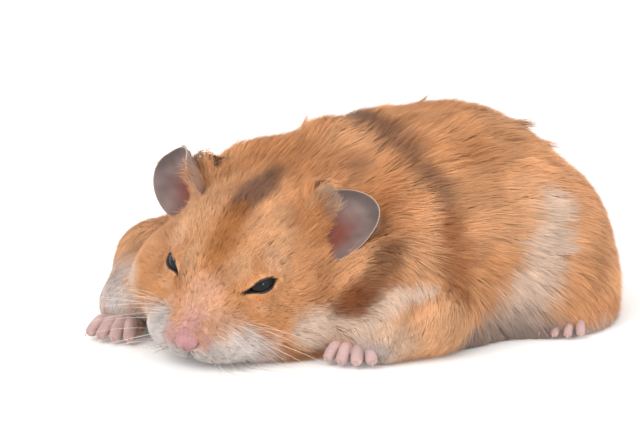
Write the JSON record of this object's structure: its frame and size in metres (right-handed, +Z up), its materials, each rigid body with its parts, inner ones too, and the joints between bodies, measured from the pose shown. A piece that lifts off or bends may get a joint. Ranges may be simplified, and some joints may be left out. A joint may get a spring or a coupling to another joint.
{
  "type": "syrian hamster",
  "caption": "Still life-size model of a plump, short-tailed golden rodent lying flat with its chin on the floor and its head turned to its left.",
  "frame": {"origin": "on the floor under the middle of the belly, on the flat that the trunk rests on", "axes": "the animal's body faces -Y, +X is its left side and +Z is up; the head is turned about 36 degrees from -Y towards +X"},
  "size_m": [0.0832, 0.1262, 0.0464],
  "materials": {
    "coat": "soft golden orange fur, darker along the back",
    "coat_pale": "soft cream fur of the forelegs",
    "skin": "bare pink skin, matt",
    "ear": "thin grey skin with fine down, matt",
    "nose": "bare pink skin, slightly moist",
    "eye": "wet black"
  },
  "bodies": {
    "root": {"head": "coat", "neck": "coat", "trunk": "coat", "hind_leg_left": "coat", "hind_leg_right": "coat", "foreleg_left": "coat_pale", "foreleg_right": "coat_pale", "forepaw_left": "skin", "forepaw_right": "skin", "hind_foot_left": "skin", "hind_foot_right": "skin", "tail": "skin", "ear_left": "ear", "ear_right": "ear", "nose": "nose", "eye_left": "eye", "eye_right": "eye"}
  },
  "joints": []
}
